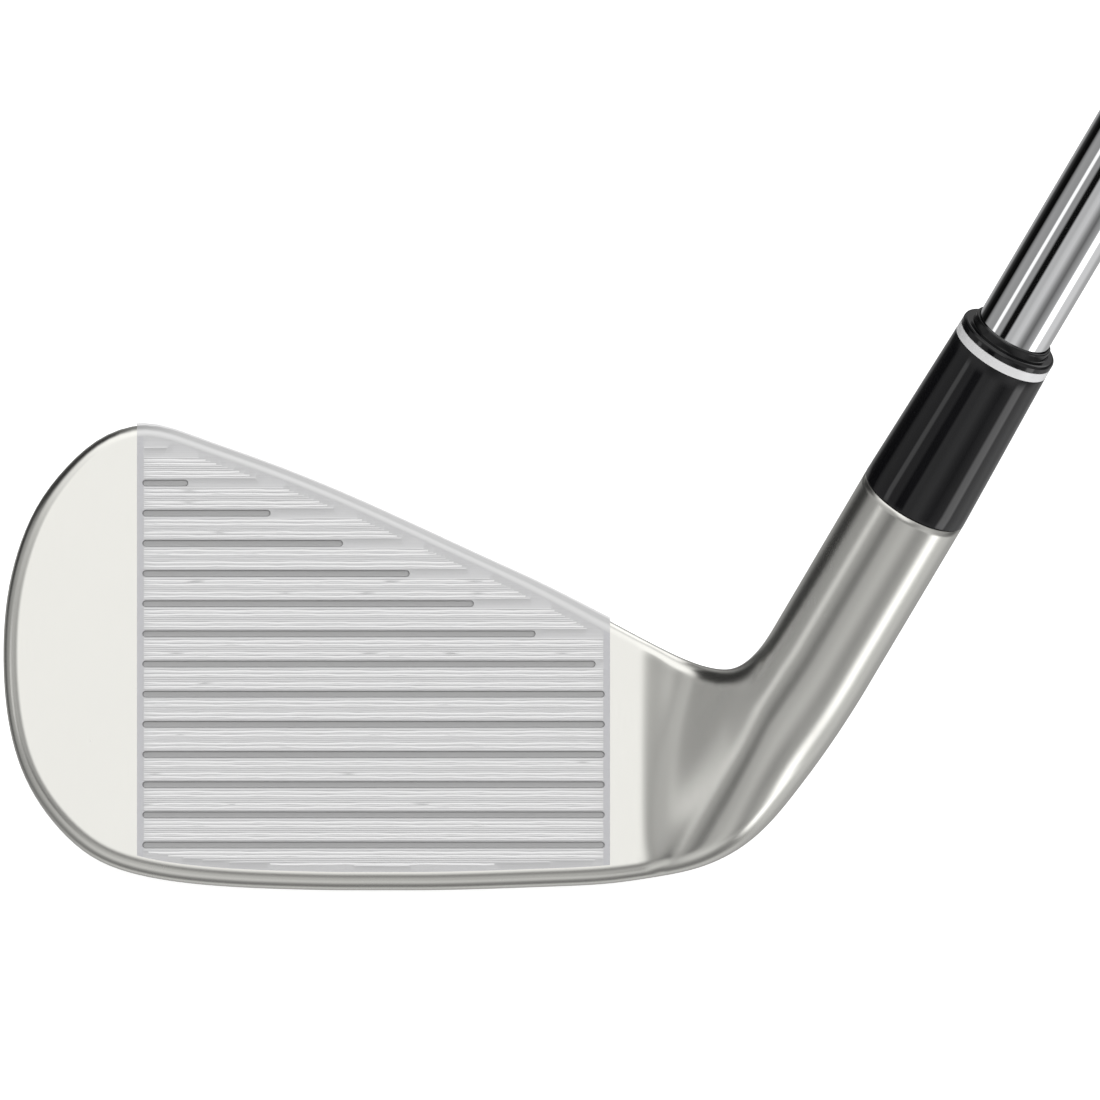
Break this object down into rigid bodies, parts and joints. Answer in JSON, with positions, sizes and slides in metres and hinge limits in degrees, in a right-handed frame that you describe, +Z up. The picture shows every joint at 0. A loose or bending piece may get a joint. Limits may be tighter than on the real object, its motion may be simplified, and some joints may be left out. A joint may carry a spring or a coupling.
{
  "type": "iron golf club",
  "caption": "Right-handed cavity-back iron golf club with a scored face, black ferrule, stepped steel shaft and rubber grip, held by the grip to strike a ball.",
  "frame": {"origin": "the sole's ground contact under the middle of the score lines, club at address", "axes": "+X from toe to heel, +Y from the face side to the back of the head, +Z up from the ground along the height of the club"},
  "size_m": [0.5509, 0.0357, 0.8543],
  "materials": {
    "forged_steel": "satin nickel-chrome plate",
    "face_steel": "milled and blasted",
    "tungsten": "matte sintered tungsten",
    "badge_metal": "satin",
    "badge_tape": "black foam tape",
    "elastomer": "matte",
    "ferrule_black": "polished",
    "ferrule_white": "polished",
    "shaft_chrome": "mirror chrome plate",
    "epoxy": "cured epoxy",
    "plug_metal": "turned",
    "label_film": "plain film",
    "grip_rubber": "textured black rubber",
    "cap_rubber": "smooth black rubber",
    "grip_tape": "two-sided paper tape"
  },
  "bodies": {
    "root": {"head_body": "forged_steel", "face_plate": "face_steel", "toe_weight": "tungsten", "cavity_badge": "badge_metal", "badge_tape": "badge_tape", "cavity_damper": "elastomer", "ferrule_barrel": "ferrule_black", "ferrule_ring": "ferrule_white", "ferrule_cap": "ferrule_black", "shaft_tube": "shaft_chrome", "shaft_epoxy": "epoxy", "tip_plug": "plug_metal", "shaft_label": "label_film", "grip_sleeve": "grip_rubber", "grip_cap": "cap_rubber", "grip_tape": "grip_tape"}
  },
  "joints": []
}
